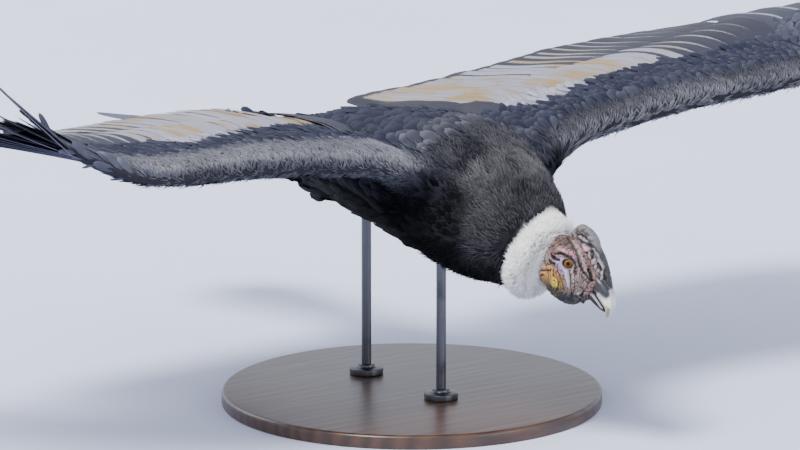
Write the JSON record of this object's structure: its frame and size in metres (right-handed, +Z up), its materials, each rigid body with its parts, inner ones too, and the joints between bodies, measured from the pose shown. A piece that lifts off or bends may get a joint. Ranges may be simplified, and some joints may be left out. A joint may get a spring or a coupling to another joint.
{
  "type": "andean condor",
  "caption": "Life-size male condor in a glide, wings spread with fingered tips, white ruff and fleshy comb, held over a round base by short rods.",
  "frame": {"origin": "centre of the underside of the round base plate", "axes": "+Z up, the bird faces -Y and its left wing reaches along +X"},
  "size_m": [2.4196, 1.1153, 0.9068],
  "materials": {
    "feather_black": "soft black feathers with pale fringes",
    "feather_white": "white down",
    "face_skin": "bare wrinkled skin",
    "comb_skin": "bare wrinkled skin",
    "bill_horn": "satin horn",
    "eye_gloss": "wet gloss",
    "leg_skin": "scaled skin",
    "claw_horn": "satin horn",
    "stand_metal": "dark satin metal",
    "stand_board": "dark satin wood"
  },
  "bodies": {
    "root": {"torso": "feather_black", "neck": "face_skin", "ruff": "feather_white", "head": "face_skin", "comb": "comb_skin", "bill_upper": "bill_horn", "bill_lower": "bill_horn", "eye_left": "eye_gloss", "eye_right": "eye_gloss", "wing_left_arm": "feather_black", "wing_left_hand": "feather_black", "wing_right_arm": "feather_black", "wing_right_hand": "feather_black", "tail": "feather_black", "thigh_left": "feather_black", "thigh_right": "feather_black", "shank_left": "leg_skin", "shank_right": "leg_skin", "foot_left": "leg_skin", "foot_right": "leg_skin", "claw_left_1": "claw_horn", "claw_left_2": "claw_horn", "claw_left_3": "claw_horn", "claw_left_4": "claw_horn", "claw_right_1": "claw_horn", "claw_right_2": "claw_horn", "claw_right_3": "claw_horn", "claw_right_4": "claw_horn", "stand_plate": "stand_board", "stand_collar_front": "stand_metal", "stand_collar_rear": "stand_metal", "stand_rod_front": "stand_metal", "stand_rod_rear": "stand_metal"}
  },
  "joints": []
}
